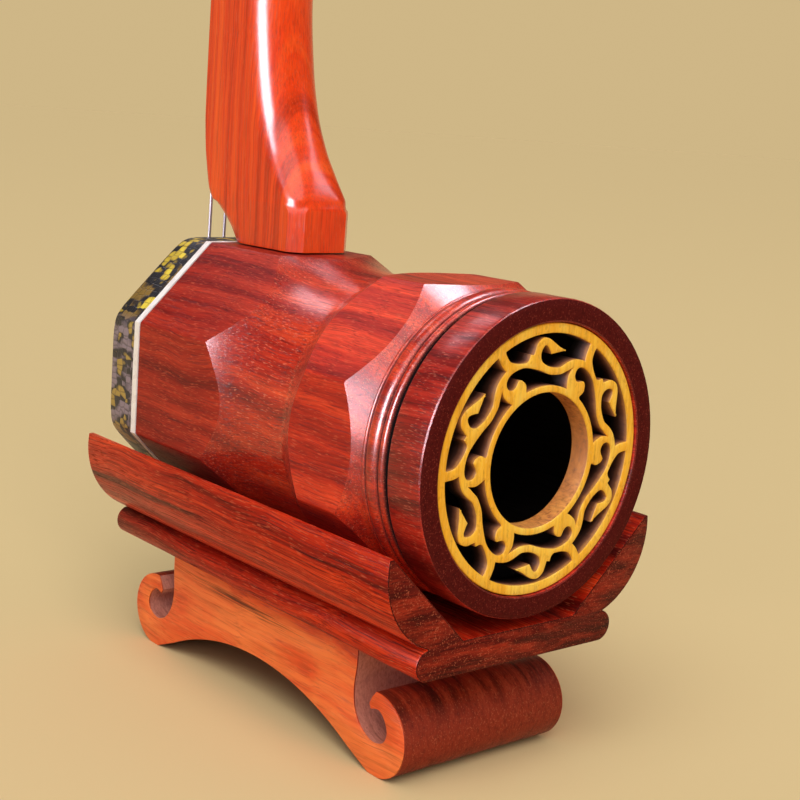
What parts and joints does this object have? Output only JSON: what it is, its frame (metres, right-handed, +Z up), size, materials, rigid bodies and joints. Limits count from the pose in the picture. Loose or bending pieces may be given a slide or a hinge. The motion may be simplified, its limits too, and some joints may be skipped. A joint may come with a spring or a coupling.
{
  "type": "bowed two-string fiddle on a stand",
  "caption": "Bowed fiddle with an octagonal scooped sound box, snakeskin front, pierced rear window, slotted head with pegs, resting on a scroll-footed tray stand.",
  "frame": {"origin": "on the ground, under the middle of the bounding box", "axes": "+Z up along the neck, -Y towards the player's side of the snakeskin and strings, +Y towards the pierced window, +X to the right as seen from the snakeskin side"},
  "size_m": [0.1506, 0.1762, 0.94],
  "materials": {
    "rosewood": "polished clear lacquer",
    "neck_rosewood": "polished clear lacquer",
    "foot_rosewood": "satin clear lacquer",
    "boxwood": "satin yellow lacquer",
    "bridge_wood": "bare",
    "python_skin": "natural scales",
    "white_binding": "gloss",
    "bone": "polished",
    "steel": "bright"
  },
  "bodies": {
    "instrument": {"sound_box": "rosewood", "skin_membrane": "python_skin", "binding_ring": "white_binding", "rear_ring": "rosewood", "sound_window": "boxwood", "neck": "neck_rosewood", "headstock": "neck_rosewood", "head_cap": "bone", "nut": "bone", "bridge": "bridge_wood", "tail_hook": "steel", "tray": "rosewood", "scroll_foot": "foot_rosewood", "base_bolt": "steel", "bolt_washer": "steel", "inner_string": "steel", "outer_string": "steel"},
    "upper_tuning_peg": {"upper_peg": "rosewood", "upper_peg_tip": "bone", "upper_winding": "steel"},
    "lower_tuning_peg": {"lower_peg": "rosewood", "lower_peg_tip": "bone", "lower_winding": "steel"}
  },
  "joints": [
    {"name": "upper_peg_turn", "type": "hinge", "parent": "instrument", "child": "upper_tuning_peg", "pos_m": [0, -0.0629, 0.854], "axis": [1, 0, 0], "continuous": true},
    {"name": "lower_peg_turn", "type": "hinge", "parent": "instrument", "child": "lower_tuning_peg", "pos_m": [0, -0.0629, 0.82], "axis": [1, 0, 0], "continuous": true}
  ]
}
